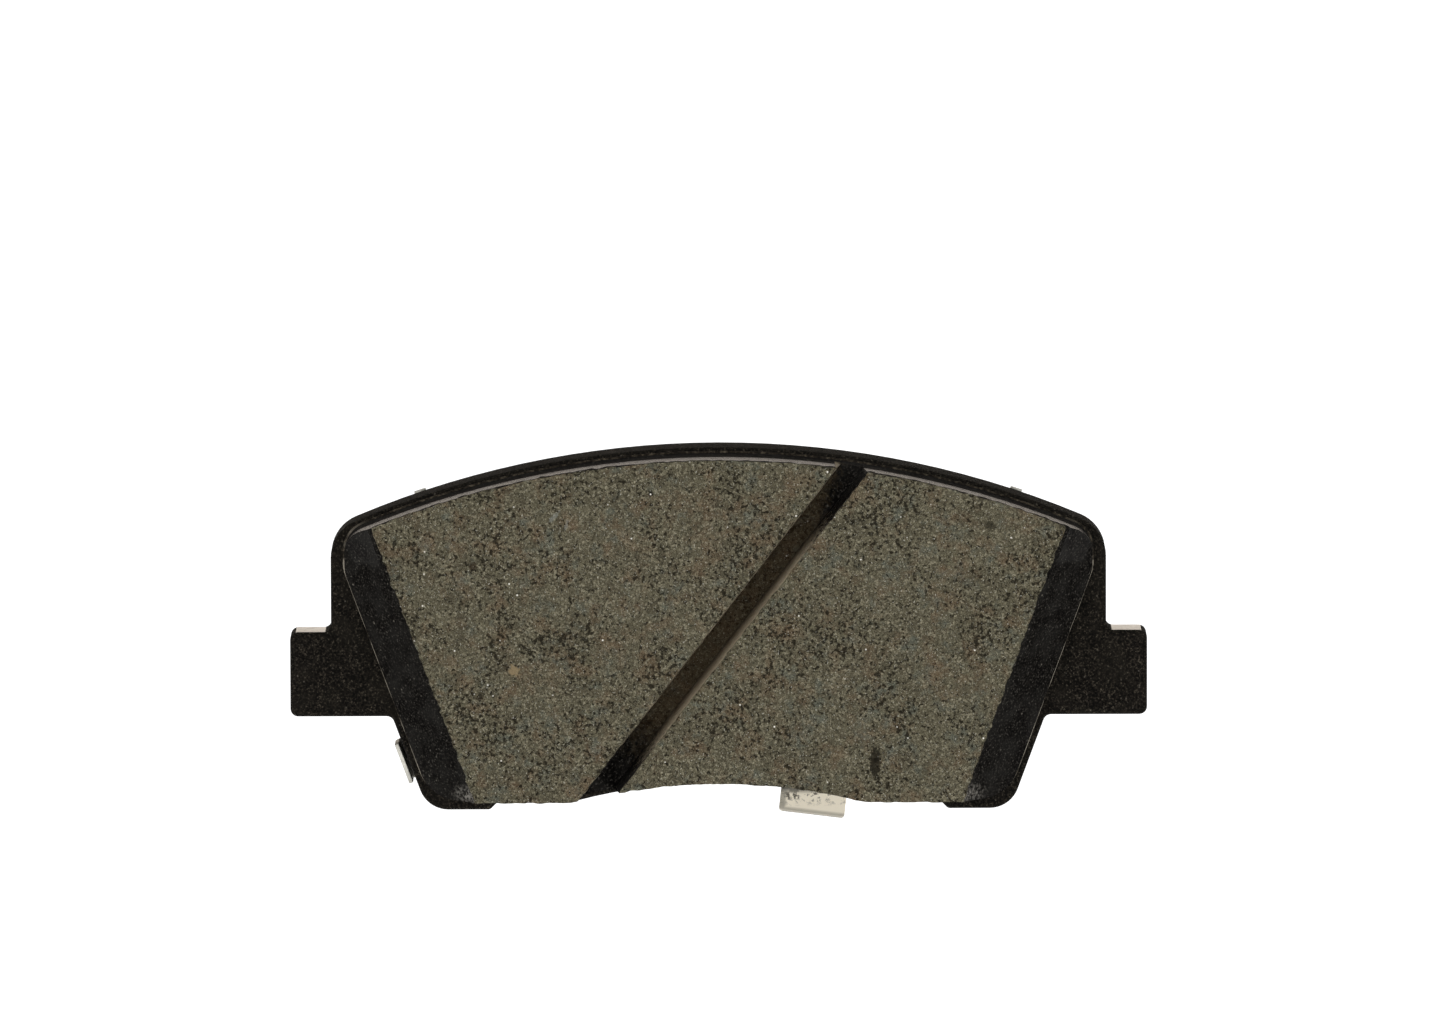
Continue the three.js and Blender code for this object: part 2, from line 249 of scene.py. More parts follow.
def begin(name):
    """A new empty material: the material, its node tree, and the piece's own millimetres."""
    material = bpy.data.materials.new(name)
    material.use_nodes = True
    tree = material.node_tree
    tree.nodes.clear()
    own = add(tree, "TexCoord").outputs["Object"]
    return material, tree, add(tree, "Mapping", {"Vector": own, "Scale": (1 / MM,) * 3})


def specks(tree, place, spacing, radius, luck_needed, strength, channel="Red"):
    """Stray specks, at most one in each cell spacing mm wide. It gives their cover of each point:
    radius is where a speck starts and ends fading, in cells, and luck_needed thins them out."""
    cells = add(tree, "TexVoronoi", {"Vector": place, "Scale": 1 / spacing})
    luck = add(tree, "SeparateColor", {"Color": cells.outputs["Color"]}).outputs[channel]
    kept = add(
        tree, "MapRange", {"Value": luck, "From Min": luck_needed[0], "From Max": luck_needed[1]}
    )
    fade = {"From Min": radius[0], "From Max": radius[1], "To Min": strength, "To Max": 0}
    near = add(tree, "MapRange", {"Value": cells, **fade})
    return add(tree, "Math", {0: kept, 1: near}, operation="MULTIPLY")


def reach(tree, place, middle, half_size, lean=0):
    """How far each point is from a spot's middle on the face, counted in the spot's half sizes."""
    spot = add(
        tree,
        "Mapping",
        {
            "Vector": place,
            "Location": (middle[0], 0, middle[1]),
            "Rotation": (0, math.radians(lean), 0),
            "Scale": (half_size[0], FLAT, half_size[1]),
        },
        vector_type="TEXTURE",
    )
    return add(tree, "VectorMath", {0: spot}, operation="LENGTH")


def powder_coat():
    """Epoxy powder coat, baked on shot-blasted steel: black, with a fine grain that catches the
    light and a little brake dust. The grain is drawn at 0.22 mm, coarser than the real 0.1 mm."""
    material, tree, place = begin("powder_coated_steel")
    grain = add(
        tree, "TexNoise", {"Vector": place, "Scale": 1 / 0.22, "Detail": 4, "Roughness": 0.65}
    )
    black = add(
        tree,
        "ValToRGB",
        {"Fac": grain},
        stops=((0.36, "#030302"), (0.5, "#100e0b"), (0.61, "#29251f"), (0.72, "#585247")),
    )
    patch = add(tree, "TexNoise", {"Vector": place, "Scale": 1 / 2.5, "Detail": 3})
    worn = add(
        tree, "MapRange", {"Value": patch, "From Min": 0.45, "From Max": 0.75, "To Max": 0.5}
    )
    coat = add(tree, "Mix", {"Factor": worn, "A": black, "B": paint("#211e19")}, data_type="RGBA")
    dust = specks(tree, place, 0.7, (0.06, 0.2), (0.6, 0.95), 0.3)
    coat = add(tree, "Mix", {"Factor": dust, "A": coat, "B": paint("#857f74")}, data_type="RGBA")
    relief = add(tree, "Bump", {"Height": grain, "Distance": 0.2 * MM})
    shader = add(
        tree,
        "BsdfPrincipled",
        {
            "Base Color": coat,
            "Roughness": 0.75,
            "Specular IOR Level": 0.05,
            "Normal": relief,
        },
    )
    add(tree, "OutputMaterial", {"Surface": shader})
    return material


def ground_steel():
    """Bare low-carbon steel, ground where the ear slides: pale, with short scratches, drawn at
    0.5 mm, coarser than real ones."""
    material, tree, place = begin("ground_bare_steel")
    along = add(tree, "Mapping", {"Vector": place, "Scale": (0.6, 1.6, 1)})
    scratch = add(
        tree, "TexNoise", {"Vector": along, "Scale": 1 / 0.5, "Detail": 5, "Roughness": 0.7}
    )
    metal = add(
        tree,
        "ValToRGB",
        {"Fac": scratch},
        stops=((0.3, "#aaa8a2"), (0.5, "#e9e7e2"), (0.7, "#fbfaf7")),
    )
    relief = add(tree, "Bump", {"Height": scratch, "Distance": 0.03 * MM})
    shader = add(
        tree,
        "BsdfPrincipled",
        {
            "Base Color": metal,
            "Metallic": 1.0,
            "Roughness": 0.38,
            "Normal": relief,
        },
    )
    add(tree, "OutputMaterial", {"Surface": shader})
    return material


def release_coat(tree, place):
    """Colour and height of the charcoal release coat that the press leaves on moulded sides:
    nearly black, cloudy, with a fine grain, stray dust and scuffed lower tips."""
    grain = add(
        tree, "TexNoise", {"Vector": place, "Scale": 1 / 0.24, "Detail": 3, "Roughness": 0.65}
    )
    coat = add(
        tree,
        "ValToRGB",
        {"Fac": grain},
        stops=((0.36, "#020202"), (0.5, "#0b0a09"), (0.61, "#23211e"), (0.72, "#54514c")),
    )
    cloud = add(tree, "TexNoise", {"Vector": place, "Scale": 1 / 2.6, "Detail": 4})
    grey = add(tree, "MapRange", {"Value": cloud, "From Min": 0.42, "From Max": 0.7, "To Max": 0.5})
    coat = add(tree, "Mix", {"Factor": grey, "A": coat, "B": paint("#262523")}, data_type="RGBA")
    dust = specks(tree, place, 0.8, (0.05, 0.2), (0.7, 0.98), 0.4)
    coat = add(tree, "Mix", {"Factor": dust, "A": coat, "B": paint("#9a9488")}, data_type="RGBA")
    worn = add(tree, "TexNoise", {"Vector": place, "Scale": 1 / 0.35, "Detail": 4})
    worn = add(tree, "MapRange", {"Value": worn, "From Min": 0.42, "From Max": 0.62})
    for side in (-1, 1):
        away = reach(tree, place, (side * SCUFF_PLACE[0], SCUFF_PLACE[1]), SCUFF_HALF_SIZE)
        near = add(
            tree,
            "MapRange",
            {"Value": away, "From Min": 0.2, "From Max": 1, "To Min": 0.7, "To Max": 0},
        )
        scuff = add(tree, "Math", {0: near, 1: worn}, operation="MULTIPLY")
        coat = add(tree, "Mix", {"Factor": scuff, "A": coat, "B": paint("#85817a")}, data_type="RGBA")
    return coat, grain


def bare_compound(tree, place):
    """Colour and height of the ground friction compound: graphite, fibre and mineral grains from
    0.13 to 0.22 mm, rusty and slaty patches of about 2 mm, pores, and rare white flecks that are
    painted glints of metal fibres."""
    cloud = add(tree, "TexNoise", {"Vector": place, "Scale": 1 / 2.6, "Detail": 4, "Roughness": 0.6})
    body = add(
        tree,
        "ValToRGB",
        {"Fac": cloud},
        stops=((0.32, "#474337"), (0.5, "#504d3f"), (0.68, "#5a5647")),
    )
    cells = add(tree, "TexVoronoi", {"Vector": place, "Scale": 1 / 0.22})
    tone = add(tree, "SeparateColor", {"Color": cells.outputs["Color"]})
    chips = add(
        tree,
        "ValToRGB",
        {"Fac": tone},
        stops=((0.0, "#201d16"), (0.22, "#433e32"), (0.75, "#5c5746"), (1.0, "#8b8571")),
    )
    body = add(tree, "Mix", {"Factor": 0.52, "A": body, "B": chips}, data_type="RGBA")
    rust = add(tree, "TexNoise", {"Vector": place, "Scale": 1 / 2.4, "Detail": 5, "Roughness": 0.65})
    rust = add(tree, "MapRange", {"Value": rust, "From Min": 0.5, "From Max": 0.68, "To Max": 0.42})
    body = add(tree, "Mix", {"Factor": rust, "A": body, "B": paint("#5f4b39")}, data_type="RGBA")
    slate = add(tree, "TexNoise", {"Vector": place, "Scale": 1 / 2, "Detail": 5, "Roughness": 0.65})
    slate = add(tree, "MapRange", {"Value": slate, "From Min": 0.54, "From Max": 0.68, "To Max": 0.5})
    body = add(tree, "Mix", {"Factor": slate, "A": body, "B": paint("#50564f")}, data_type="RGBA")
    fine = add(tree, "TexNoise", {"Vector": place, "Scale": 1 / 0.13, "Detail": 2, "Roughness": 0.6})
    shade = add(
        tree, "ValToRGB", {"Fac": fine}, stops=((0.3, "#616161"), (0.5, "#bcbcbc"), (0.7, "#f1f1f1"))
    )
    body = add(
        tree, "Mix", {"Factor": 0.8, "A": body, "B": shade}, data_type="RGBA", blend_type="OVERLAY"
    )
    rough = add(tree, "TexNoise", {"Vector": place, "Scale": 1 / 0.45, "Detail": 4, "Roughness": 0.62})
    crowd = add(tree, "TexNoise", {"Vector": place, "Scale": 1 / 6.0, "Detail": 2})
    crowd = add(
        tree,
        "MapRange",
        {"Value": crowd, "From Min": 0.35, "From Max": 0.65, "To Min": 0.04, "To Max": -0.05},
    )
    hollow = add(tree, "Math", {0: rough, 1: crowd}, operation="ADD")
    pore = add(
        tree,
        "MapRange",
        {"Value": hollow, "From Min": 0.375, "From Max": 0.415, "To Min": 0.85, "To Max": 0},
    )
    body = add(tree, "Mix", {"Factor": pore, "A": body, "B": paint("#17140e")}, data_type="RGBA")
    pale = add(tree, "TexNoise", {"Vector": place, "Scale": 1 / 0.19, "Detail": 2})
    pale = add(tree, "MapRange", {"Value": pale, "From Min": 0.65, "From Max": 0.73, "To Max": 0.7})
    body = add(tree, "Mix", {"Factor": pale, "A": body, "B": paint("#b4b1a4")}, data_type="RGBA")
    # Painted glints: rare white flecks where metal fibres would catch the light.
    painted_glint = specks(tree, place, 1.3, (0.05, 0.1), (0.78, 0.82), 1, channel="Blue")
    body = add(tree, "Mix", {"Factor": painted_glint, "A": body, "B": paint("#dedad0")}, data_type="RGBA")
    ragged = add(
        tree,
        "MapRange",
        {"Value": rough, "From Min": 0.3, "From Max": 0.7, "To Min": 0.5, "To Max": -0.5},
    )
    for middle, half_size, lean, share, stain in INCLUSIONS:
        away = reach(tree, place, middle, half_size, lean)
        away = add(tree, "Math", {0: away, 1: ragged}, operation="ADD")
        inside = add(
            tree,
            "MapRange",
            {"Value": away, "From Min": 0.8, "From Max": 1.1, "To Min": share, "To Max": 0},
        )
        body = add(tree, "Mix", {"Factor": inside, "A": body, "B": paint(stain)}, data_type="RGBA")
    height = add(tree, "Math", {0: fine, 1: pore}, operation="SUBTRACT")
    return body, height


def friction_lining():
    """Moulded non-asbestos organic compound. The ground rotor face shows its grains, the moulded
    sides keep a charcoal release coat, which is glossy in a strip along the crown, and the sawn
    slot is bare, its floor darkened by painted shade and its walls lightened by painted light,
    with coat left at both mouths."""
    material, tree, place = begin("moulded_friction_compound")
    spot = add(tree, "SeparateXYZ", {"Vector": place}).outputs
    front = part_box("friction_block")[0].y / MM
    jitter = add(tree, "TexNoise", {"Vector": place, "Scale": 1 / 0.5, "Detail": 3, "Roughness": 0.6})
    wander = add(
        tree,
        "MapRange",
        {"Value": jitter, "From Min": 0.3, "From Max": 0.7, "To Min": -0.1, "To Max": 0.1},
    )
    ragged = add(tree, "Math", {0: spot["Y"], 1: wander}, operation="ADD")
    coated = add(
        tree, "MapRange", {"Value": ragged, "From Min": front + 0.2, "From Max": front + 0.3}
    )
    bare_colour, bare_height = bare_compound(tree, place)
    coat_colour, coat_height = release_coat(tree, place)

    slot = add(
        tree,
        "Mapping",
        {"Vector": place, "Location": SLOT_MIDDLE, "Rotation": (0, SLOT_LEAN, 0)},
        vector_type="TEXTURE",
    )
    slot = add(tree, "SeparateXYZ", {"Vector": slot}).outputs
    across = add(tree, "Math", {0: slot["X"]}, operation="ABSOLUTE")
    outside = add(
        tree,
        "MapRange",
        {"Value": across, "From Min": SLOT_HALF_WIDTH, "From Max": SLOT_HALF_WIDTH + 0.15},
    )
    in_slot = add(tree, "Math", {0: 1.0, 1: outside}, operation="SUBTRACT")
    stray = add(
        tree,
        "MapRange",
        {"Value": jitter, "From Min": 0.3, "From Max": 0.7, "To Min": -2.5, "To Max": 2.5},
    )
    along = add(tree, "Math", {0: slot["Z"], 1: stray}, operation="ADD")
    lopsided = add(tree, "Math", {0: slot["X"], 1: 3, 2: along}, operation="MULTIPLY_ADD")
    low_end, high_end = SLOT_COAT_ENDS
    above = add(
        tree, "MapRange", {"Value": along, "From Min": low_end[0], "From Max": low_end[1]}
    )
    past = add(
        tree, "MapRange", {"Value": lopsided, "From Min": high_end[0], "From Max": high_end[1]}
    )
    below = add(tree, "Math", {0: 1.0, 1: past}, operation="SUBTRACT")
    sawn = add(tree, "Math", {0: above, 1: below}, operation="MULTIPLY")
    sawn = add(tree, "Math", {0: sawn, 1: in_slot}, operation="MULTIPLY")
    # Painted shade: the slot's floor is the bare compound darkened to deep brown.
    floor = add(
        tree, "Mix", {"Factor": 0.62, "A": bare_colour, "B": paint("#302315")}, data_type="RGBA"
    )
    # Painted light: the slot's walls are the bare compound lightened to pale brown.
    painted_lit_wall = add(tree, "Mix", {"Factor": 0.5, "A": bare_colour, "B": paint("#b3a48c")}, data_type="RGBA")
    on_wall = add(
        tree, "MapRange", {"Value": across, "From Min": SLOT_WALL, "From Max": SLOT_WALL + 0.25}
    )
    sawn_shade_and_light = add(tree, "Mix", {"Factor": on_wall, "A": floor, "B": painted_lit_wall}, data_type="RGBA")
    sides = add(tree, "Mix", {"Factor": sawn, "A": coat_colour, "B": sawn_shade_and_light}, data_type="RGBA")
    colour = add(tree, "Mix", {"Factor": coated, "A": bare_colour, "B": sides}, data_type="RGBA")

    moulded = add(tree, "Math", {0: 1.0, 1: sawn}, operation="SUBTRACT")
    moulded = add(tree, "Math", {0: moulded, 1: coated}, operation="MULTIPLY")
    begun, ended = (
        add(tree, "MapRange", {"Value": ragged, "From Min": front + near, "From Max": front + far})
        for near, far in GLOSS_DEPTHS
    )
    high = add(
        tree,
        "MapRange",
        {"Value": spot["Z"], "From Min": GLOSS_HEIGHTS[0], "From Max": GLOSS_HEIGHTS[1]},
    )
    gloss = add(tree, "Math", {0: begun, 1: ended}, operation="SUBTRACT")
    gloss = add(tree, "Math", {0: gloss, 1: high}, operation="MULTIPLY")
    gloss = add(tree, "Math", {0: gloss, 1: moulded}, operation="MULTIPLY")
    roughness = add(tree, "MapRange", {"Value": gloss, "To Min": 0.85, "To Max": 0.14})
    calmer = add(tree, "Math", {0: coat_height, 1: 0.2}, operation="MULTIPLY")
    height = add(
        tree, "Mix", {"Factor": moulded, "A": bare_height, "B": calmer}, data_type="FLOAT"
    )
    relief = add(tree, "Bump", {"Height": height, "Distance": 0.09 * MM})
    shader = add(
        tree,
        "BsdfPrincipled",
        {
            "Base Color": colour,
            "Roughness": roughness,
            "Specular IOR Level": 0.03,
            "Specular Tint": paint("#fff3e6"),
            "Normal": relief,
        },
    )
    add(tree, "OutputMaterial", {"Surface": shader})
    return material


def underlayer_coat():
    """The same charcoal release coat over the moulded underlayer."""
    material, tree, place = begin("coated_underlayer")
    colour, height = release_coat(tree, place)
    relief = add(tree, "Bump", {"Height": height, "Distance": 0.02 * MM})
    shader = add(
        tree,
        "BsdfPrincipled",
        {
            "Base Color": colour,
            "Roughness": 0.8,
            "Specular IOR Level": 0.03,
            "Normal": relief,
        },
    )
    add(tree, "OutputMaterial", {"Surface": shader})
    return material


def cured_resin():
    """Phenolic resin squeezed out under heat: a thin brittle line, brownish black under the crown
    and broken into pale stretches down the flanks."""
    material, tree, place = begin("cured_phenolic_resin")
    mottle = add(tree, "TexNoise", {"Vector": place, "Scale": 1 / 0.5, "Detail": 4, "Roughness": 0.6})
    dark = add(
        tree,
        "ValToRGB",
        {"Fac": mottle},
        stops=((0.35, "#14110d"), (0.5, "#2b261e"), (0.68, "#5f574a")),
    )
    pale = add(tree, "Mix", {"Factor": 0.55, "A": dark, "B": paint("#c2b9a8")}, data_type="RGBA")
    stretch = add(tree, "TexNoise", {"Vector": place, "Scale": 1 / 3.0, "Detail": 3})
    stretch = add(tree, "MapRange", {"Value": stretch, "From Min": 0.42, "From Max": 0.56})
    height = add(tree, "SeparateXYZ", {"Vector": place}).outputs["Z"]
    flank = add(
        tree, "MapRange", {"Value": height, "From Min": 10, "From Max": 13, "To Min": 1, "To Max": 0}
    )
    share = add(tree, "Math", {0: stretch, 1: flank}, operation="MULTIPLY")
    resin = add(tree, "Mix", {"Factor": share, "A": dark, "B": pale}, data_type="RGBA")
    relief = add(tree, "Bump", {"Height": mottle, "Distance": 0.05 * MM})
    shader = add(
        tree,
        "BsdfPrincipled",
        {
            "Base Color": resin,
            "Roughness": 0.6,
            "Specular IOR Level": 0.1,
            "Normal": relief,
        },
    )
    add(tree, "OutputMaterial", {"Surface": shader})
    return material


def pressure_adhesive():
    """Acrylic transfer adhesive: a thin, dull amber edge."""
    material, tree, place = begin("acrylic_adhesive")
    mottle = add(tree, "TexNoise", {"Vector": place, "Scale": 1 / 1.2})
    amber = add(tree, "ValToRGB", {"Fac": mottle}, stops=((0.3, "#6e5a34"), (0.7, "#8f7a4e")))
    shader = add(
        tree,
        "BsdfPrincipled",
        {
            "Base Color": amber,
            "Roughness": 0.55,
            "Specular IOR Level": 0.4,
        },
    )
    add(tree, "OutputMaterial", {"Surface": shader})
    return material


def rubber_coat():
    """Nitrile rubber, roller-coated on the shim core: matt black with a faint pebble."""
    material, tree, place = begin("nitrile_rubber_coat")
    pebble = add(tree, "TexNoise", {"Vector": place, "Scale": 1 / 0.3, "Detail": 3})
    black = add(tree, "ValToRGB", {"Fac": pebble}, stops=((0.3, "#191a1b"), (0.7, "#2b2c2d")))
    relief = add(tree, "Bump", {"Height": pebble, "Distance": 0.03 * MM})
    shader = add(
        tree,
        "BsdfPrincipled",
        {
            "Base Color": black,
            "Roughness": 0.8,
            "Specular IOR Level": 0.35,
            "Normal": relief,
        },
    )
    add(tree, "OutputMaterial", {"Surface": shader})
    return material


def cold_rolled_core():
    """Cold-rolled steel strip, sheared: a bright, faintly streaked edge between the rubber coats."""
    material, tree, place = begin("cold_rolled_steel")
    rolled = add(tree, "Mapping", {"Vector": place, "Scale": (1, 1, 6)})
    streak = add(tree, "TexNoise", {"Vector": rolled, "Scale": 1 / 0.8, "Detail": 3})
    steel = add(tree, "ValToRGB", {"Fac": streak}, stops=((0.3, "#8d8f92"), (0.7, "#b9bbbd")))
    shader = add(tree, "BsdfPrincipled", {"Base Color": steel, "Metallic": 1.0, "Roughness": 0.35})
    add(tree, "OutputMaterial", {"Surface": shader})
    return material


def galvanised_sheet():
    """Hot-dip galvanised steel sheet: bright zinc with a faint 2 mm spangle, rolling marks and
    smudges. The lower tab is chalky and painted near-white as painted light for the shade under
    the lining, with painted shade blotched in its bend and grey painted shade on its rims."""
    material, tree, place = begin("galvanised_steel_sheet")
    bloom = add(tree, "TexNoise", {"Vector": place, "Scale": 1 / 3.0, "Detail": 4})
    zinc = add(
        tree,
        "ValToRGB",
        {"Fac": bloom},
        stops=((0.3, "#8e8d86"), (0.5, "#a5a39b"), (0.72, "#bfbdb4")),
    )
    spangle = add(tree, "TexVoronoi", {"Vector": place, "Scale": 1 / 2.2})
    tone = add(tree, "SeparateColor", {"Color": spangle.outputs["Color"]})
    frost = add(tree, "ValToRGB", {"Fac": tone}, stops=((0.0, "#a9a9a9"), (1.0, "#cfcfcf")))
    zinc = add(
        tree, "Mix", {"Factor": 0.35, "A": zinc, "B": frost}, data_type="RGBA", blend_type="OVERLAY"
    )
    rolled = add(tree, "Mapping", {"Vector": place, "Scale": (3, 3, 0.5)})
    rolled = add(tree, "TexNoise", {"Vector": rolled, "Scale": 1 / 0.6, "Detail": 3})
    marks = add(tree, "ValToRGB", {"Fac": rolled}, stops=((0.3, "#aaaaaa"), (0.7, "#e1e1e1")))
    zinc = add(
        tree, "Mix", {"Factor": 0.25, "A": zinc, "B": marks}, data_type="RGBA", blend_type="OVERLAY"
    )
    smudge = add(
        tree, "TexNoise", {"Vector": place, "Scale": 1 / 1.1, "Detail": 5, "Roughness": 0.65}
    )
    smudge = add(tree, "MapRange", {"Value": smudge, "From Min": 0.6, "From Max": 0.72, "To Max": 0.5})
    zinc = add(tree, "Mix", {"Factor": smudge, "A": zinc, "B": paint("#6b6353")}, data_type="RGBA")
    height = add(tree, "SeparateXYZ", {"Vector": place}).outputs["Z"]
    lower_tab_zone = add(
        tree,
        "MapRange",
        {"Value": height, "From Min": TAB_TOP[1], "From Max": TAB_TOP[0]},
    )
    # Painted light: the lower tab's chalky zinc is made near-white, against the shade that the lining
    # casts on it.
    chalk_and_painted_light = add(tree, "Mix", {"Factor": 0.05, "A": paint("#fff5df"), "B": zinc}, data_type="RGBA")
    zinc = add(tree, "Mix", {"Factor": lower_tab_zone, "A": zinc, "B": chalk_and_painted_light}, data_type="RGBA")
    # Painted shade: dark blotches in the tab's bend, under the lining.
    bend = add(tree, "MapRange", {"Value": height, "From Min": -21.6, "From Max": -20.6})
    painted_bend_shade = add(tree, "TexNoise", {"Vector": place, "Scale": 1 / 0.7, "Detail": 5, "Roughness": 0.7})
    painted_bend_shade = add(tree, "MapRange", {"Value": painted_bend_shade, "From Min": 0.51, "From Max": 0.58, "To Max": 0.9})
    painted_bend_shade = add(tree, "Math", {0: painted_bend_shade, 1: bend}, operation="MULTIPLY")
    painted_bend_shade = add(tree, "Math", {0: painted_bend_shade, 1: lower_tab_zone}, operation="MULTIPLY")
    zinc = add(tree, "Mix", {"Factor": painted_bend_shade, "A": zinc, "B": paint("#3b372e")}, data_type="RGBA")
    tab = add(
        tree,
        "Mapping",
        {"Vector": place, "Location": TAB_CORNER, "Rotation": (0, TAB_LEAN, 0)},
        vector_type="TEXTURE",
    )
    tab = add(tree, "SeparateXYZ", {"Vector": tab}).outputs
    # Painted shade: the tab's rounded bottom and side rims are greyed, where their rounding turns from
    # the light.
    painted_rim_shades = (
        add(tree, "MapRange", {"Value": tab["Z"], "From Min": 0.55, "From Max": 0.25}),
        add(tree, "MapRange", {"Value": tab["X"], "From Min": -0.3, "From Max": -0.1}),
        add(tree, "MapRange", {"Value": tab["X"], "From Min": -7.3, "From Max": -7.6}),
    )
    rim = add(tree, "Math", {0: painted_rim_shades[0], 1: painted_rim_shades[1]}, operation="MAXIMUM")
    rim = add(tree, "Math", {0: rim, 1: painted_rim_shades[2]}, operation="MAXIMUM")
    rim = add(tree, "Math", {0: rim, 1: lower_tab_zone}, operation="MULTIPLY")
    rim = add(tree, "Math", {0: rim, 1: 0.7}, operation="MULTIPLY")
    zinc = add(tree, "Mix", {"Factor": rim, "A": zinc, "B": paint("#8a877c")}, data_type="RGBA")
    metallic = add(tree, "MapRange", {"Value": lower_tab_zone, "To Min": 0.9, "To Max": 0.0})
    roughness = add(
        tree,
        "MapRange",
        {"Value": bloom, "From Min": 0.3, "From Max": 0.7, "To Min": 0.34, "To Max": 0.5},
    )
    relief = add(tree, "Bump", {"Height": rolled, "Distance": 0.012 * MM})
    shader = add(
        tree,
        "BsdfPrincipled",
        {
            "Base Color": zinc,
            "Metallic": metallic,
            "Roughness": roughness,
            "Normal": relief,
        },
    )
    add(tree, "OutputMaterial", {"Surface": shader})
    return material


def sheared_edge():
    """The tab's sheared edge, where the zinc was torn away: dull grey steel with a burr."""
    material, tree, place = begin("sheared_steel_edge")
    tear = add(tree, "TexNoise", {"Vector": place, "Scale": 1 / 0.4, "Detail": 4, "Roughness": 0.65})
    steel = add(
        tree, "ValToRGB", {"Fac": tear}, stops=((0.35, "#5d594f"), (0.55, "#8c877b"), (0.7, "#b4afa2"))
    )
    relief = add(tree, "Bump", {"Height": tear, "Distance": 0.03 * MM})
    shader = add(
        tree,
        "BsdfPrincipled",
        {
            "Base Color": steel,
            "Metallic": 0.3,
            "Roughness": 0.5,
            "Normal": relief,
        },
    )
    add(tree, "OutputMaterial", {"Surface": shader})
    return material


def light_table():
    """Opal acrylic lit from below: plain white, so that the pad throws hardly any shadow."""
    material, tree, _ = begin("lit_opal_acrylic")
    shader = add(
        tree,
        "BsdfPrincipled",
        {
            "Base Color": paint("#404040"),
            "Roughness": 0.9,
            "Specular IOR Level": 0.0,
            "Emission Color": paint("#ffffff"),
            "Emission Strength": 1.25,
        },
    )
    add(tree, "OutputMaterial", {"Surface": shader})
    return material


# ---- Pieces ----


def stamp_plate():
    """The plate, from its piston-side outline: drawn out to its thickness, its rotor-side edge
    rolled by the punch, its moulding holes punched, its far edge deburred."""
    low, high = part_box("backing_plate")
    thickness = high.y - low.y
    plate = welded_copy("backing_plate", "stamped_plate")
    open_mesh(plate, "FACE")
    pick_faces(plate, lambda centre, facing: facing.y < 0.99)
    bpy.ops.mesh.delete(type="FACE")
    centres = [Vector((i * KEY_HOLE_SPACING, high.y, KEY_HOLE_HEIGHT)) for i in (-1, 0, 1)]
    for centre in centres:
        pick_edges(
            plate,
            lambda edge: edge.is_boundary
            and all((v.co - centre).length < KEY_HOLE_RADIUS * 1.02 for v in edge.verts),
        )
        bpy.ops.mesh.edge_face_add()
    bpy.ops.mesh.select_all(action="SELECT")
    bpy.ops.mesh.dissolve_limited(angle_limit=FLAT_WITHIN)
    bpy.ops.mesh.select_all(action="SELECT")
    bpy.ops.mesh.extrude_region_move(
        TRANSFORM_OT_translate={"value": (0, ROLL_DEPTH - thickness, 0)}
    )
    bpy.ops.mesh.select_all(action="SELECT")
    bpy.ops.mesh.normals_make_consistent(inside=False)
    pick_faces(plate, lambda centre, facing: facing.y < -0.99)
    for step in range(ROLL_STEPS):
        before = step / ROLL_STEPS * QUARTER_TURN
        after = (step + 1) / ROLL_STEPS * QUARTER_TURN
        bpy.ops.mesh.inset(
            thickness=ROLL_WIDTH * (math.cos(before) - math.cos(after)),
            depth=ROLL_DEPTH * (math.sin(after) - math.sin(before)),
        )
    pick_edges(
        plate,
        lambda edge: all(abs(v.co.y - high.y) < 0.01 * MM for v in edge.verts)
        and edge.calc_face_angle(0) > 1,
    )
    bpy.ops.mesh.bevel(offset=BURR_BEVEL, segments=2)
    close_mesh()
    for centre in centres:
        bpy.ops.mesh.primitive_cylinder_add(
            vertices=64,
            radius=KEY_HOLE_RADIUS,
            depth=thickness * 2,
            location=centre,
            rotation=(QUARTER_TURN, 0, 0),
        )
        punch = bpy.context.object
        apply(plate, "hole", "BOOLEAN", operation="DIFFERENCE", object=punch, solver="EXACT")
        bpy.data.objects.remove(punch)
    plate.data.materials.append(powder_coat())
    plate.data.materials.append(ground_steel())
    for face in plate.data.polygons:
        on_ear = abs(face.center.x) > BODY_HALF_WIDTH + 0.5 * MM and face.normal.z > 0.95
        face.material_index = 1 if on_ear and face.center.y > low.y + ROLL_DEPTH else 0
    soften(plate, 35)
    fit(plate, "backing_plate")


